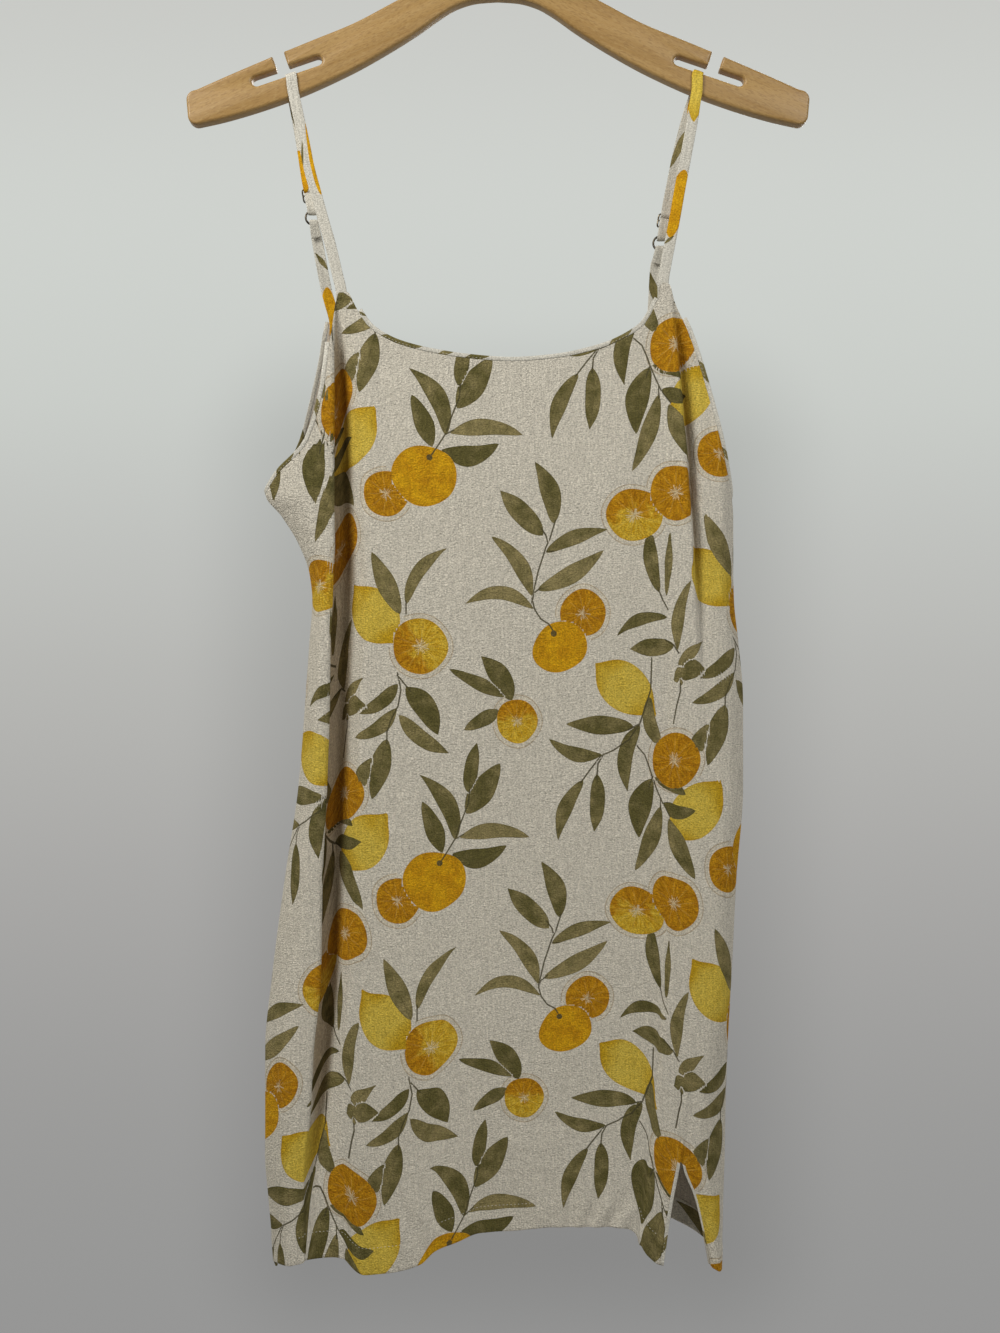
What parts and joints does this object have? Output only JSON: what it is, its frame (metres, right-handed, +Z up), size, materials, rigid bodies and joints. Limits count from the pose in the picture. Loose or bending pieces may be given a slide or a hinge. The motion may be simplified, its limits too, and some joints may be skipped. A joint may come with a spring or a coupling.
{
  "type": "mini dress on wooden hanger",
  "caption": "Sleeveless printed mini dress with adjustable straps and a side slit, hung on a notched wooden hanger with a steel hook.",
  "frame": {"origin": "inner top of the hanger's hook, the point where it would rest on a rail, in the dress's middle plane between front and back", "axes": "+X to the viewer's right of the hung dress, +Y from the front of the dress to its back, +Z up"},
  "size_m": [0.452, 0.0588, 1.0345],
  "materials": {
    "printed_cloth": "matte slubby weave, printed with fruit and leaves",
    "bias_binding": "matte, cut on the bias from the same print",
    "beech_wood": "satin clear lacquer",
    "slider_metal": "dark bronze, satin",
    "hook_steel": "bright plated"
  },
  "bodies": {
    "root": {"front_panel": "printed_cloth", "back_panel": "printed_cloth", "front_neck_binding": "bias_binding", "front_armhole_binding_left": "bias_binding", "front_armhole_binding_right": "bias_binding", "back_neck_binding": "bias_binding", "back_armhole_binding_left": "bias_binding", "back_armhole_binding_right": "bias_binding", "strap_left": "bias_binding", "strap_right": "bias_binding", "back_strap_left": "bias_binding", "back_strap_right": "bias_binding", "ring_left": "slider_metal", "ring_right": "slider_metal", "slider_left": "slider_metal", "slider_right": "slider_metal", "hanger": "beech_wood", "hook": "hook_steel"}
  },
  "joints": []
}
